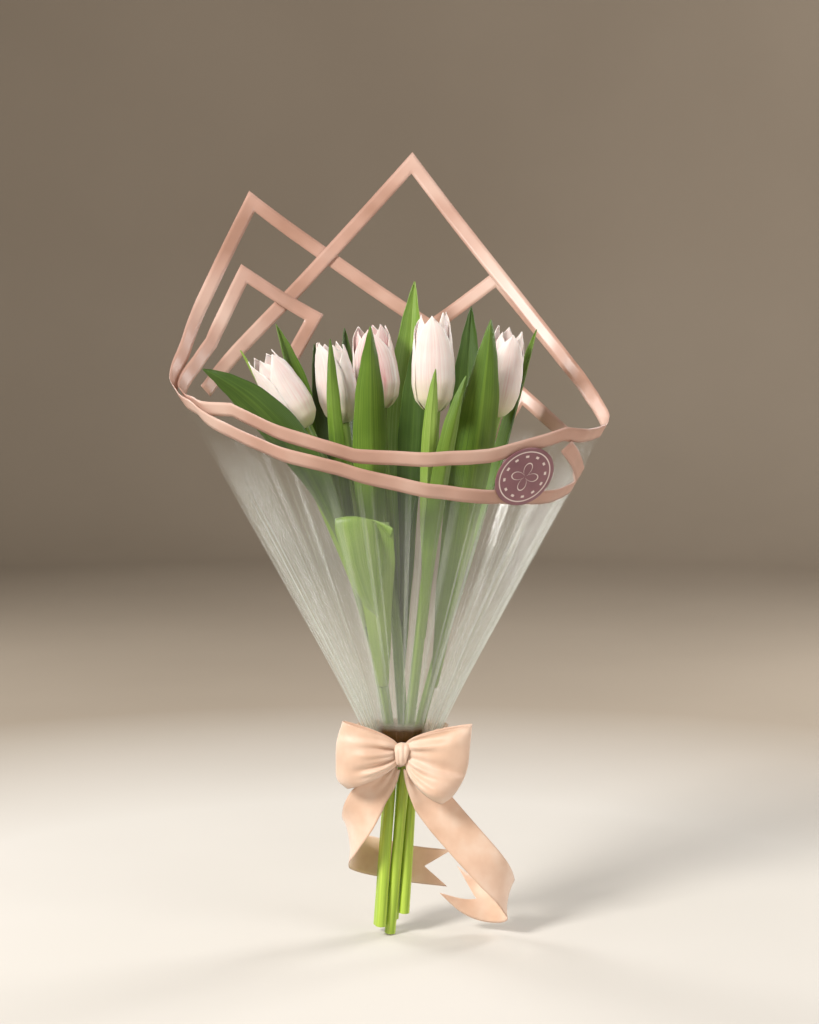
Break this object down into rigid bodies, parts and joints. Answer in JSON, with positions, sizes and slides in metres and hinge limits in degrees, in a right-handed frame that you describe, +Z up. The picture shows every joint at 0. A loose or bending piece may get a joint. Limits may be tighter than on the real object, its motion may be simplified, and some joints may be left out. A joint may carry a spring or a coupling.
{
  "type": "wrapped tulip bouquet",
  "caption": "Hand-tied bunch of pale pink tulips in a clear film cone with rose-edged corners, a satin ribbon bow and a round plain seal.",
  "frame": {"origin": "middle of the longest stem's cut end, in the middle of the bundle, on the plane that the bouquet rests on", "axes": "+Z up through the bouquet, +X to the viewer's right, +Y away from the viewer, so the bow faces -Y"},
  "size_m": [0.2878, 0.2165, 0.516],
  "materials": {
    "clear_film": "clear glossy film with rose matte border strips",
    "satin_ribbon": "peach satin",
    "rubber_band": "matt tan",
    "seal_paper": "plum printed paper with a satin coat",
    "petal": "living petal, soft silky sheen, blush to white",
    "pistil_green": "living tissue, matt pale green",
    "anther_dark": "powdery dark purple",
    "stem_green": "living tissue, waxy light green",
    "leaf_green": "living leaf, waxy satin green"
  },
  "bodies": {
    "wrap": {"outer_film_sheet": "clear_film", "inner_film_sheet": "clear_film", "binding_band": "rubber_band", "ribbon_band": "satin_ribbon", "bow_knot": "satin_ribbon", "bow_loop_left": "satin_ribbon", "bow_loop_right": "satin_ribbon", "seal_sticker": "seal_paper"},
    "tail_left": {"ribbon_tail_left": "satin_ribbon"},
    "tail_right": {"ribbon_tail_right": "satin_ribbon"},
    "tulip_left": {"tulip_left_stem": "stem_green", "tulip_left_outer_petals": "petal", "tulip_left_inner_petals": "petal", "tulip_left_pistil": "pistil_green", "tulip_left_stamens": "anther_dark", "tulip_left_leaf_lower": "leaf_green", "tulip_left_leaf_middle": "leaf_green", "tulip_left_leaf_upper": "leaf_green", "tulip_left_leaf_folded": "leaf_green"},
    "tulip_mid_left": {"tulip_mid_left_stem": "stem_green", "tulip_mid_left_outer_petals": "petal", "tulip_mid_left_inner_petals": "petal", "tulip_mid_left_pistil": "pistil_green", "tulip_mid_left_stamens": "anther_dark", "tulip_mid_left_leaf_lower": "leaf_green", "tulip_mid_left_leaf_middle": "leaf_green", "tulip_mid_left_leaf_upper": "leaf_green"},
    "tulip_back": {"tulip_back_stem": "stem_green", "tulip_back_outer_petals": "petal", "tulip_back_inner_petals": "petal", "tulip_back_pistil": "pistil_green", "tulip_back_stamens": "anther_dark", "tulip_back_leaf_lower": "leaf_green", "tulip_back_leaf_middle": "leaf_green", "tulip_back_leaf_upper": "leaf_green"},
    "tulip_front": {"tulip_front_stem": "stem_green", "tulip_front_outer_petals": "petal", "tulip_front_inner_petals": "petal", "tulip_front_pistil": "pistil_green", "tulip_front_stamens": "anther_dark", "tulip_front_leaf_lower": "leaf_green", "tulip_front_leaf_upper": "leaf_green"},
    "tulip_right": {"tulip_right_stem": "stem_green", "tulip_right_outer_petals": "petal", "tulip_right_inner_petals": "petal", "tulip_right_pistil": "pistil_green", "tulip_right_stamens": "anther_dark", "tulip_right_leaf_lower": "leaf_green", "tulip_right_leaf_middle": "leaf_green", "tulip_right_leaf_upper": "leaf_green"}
  },
  "joints": [
    {"name": "tulip_left_draw", "type": "slide", "parent": "wrap", "child": "tulip_left", "axis": [0.0644, 0, 0.9979], "range_m": [0, 0.11]},
    {"name": "tulip_mid_left_draw", "type": "slide", "parent": "wrap", "child": "tulip_mid_left", "axis": [0.0644, 0, 0.9979], "range_m": [0, 0.11]},
    {"name": "tulip_back_draw", "type": "slide", "parent": "wrap", "child": "tulip_back", "axis": [0.0644, 0, 0.9979], "range_m": [0, 0.11]},
    {"name": "tulip_front_draw", "type": "slide", "parent": "wrap", "child": "tulip_front", "axis": [0.0644, 0, 0.9979], "range_m": [0, 0.11]},
    {"name": "tulip_right_draw", "type": "slide", "parent": "wrap", "child": "tulip_right", "axis": [0.0644, 0, 0.9979], "range_m": [0, 0.11]},
    {"name": "tail_left_swing", "type": "hinge", "parent": "wrap", "child": "tail_left", "pos_m": [0.004, -0.023, 0.117], "axis": [0, 1, 0], "range_deg": [0, 20], "stiffness_Nm_per_rad": 0.02},
    {"name": "tail_right_swing", "type": "hinge", "parent": "wrap", "child": "tail_right", "pos_m": [0.012, -0.023, 0.117], "axis": [0, -1, 0], "range_deg": [0, 20], "stiffness_Nm_per_rad": 0.02}
  ]
}
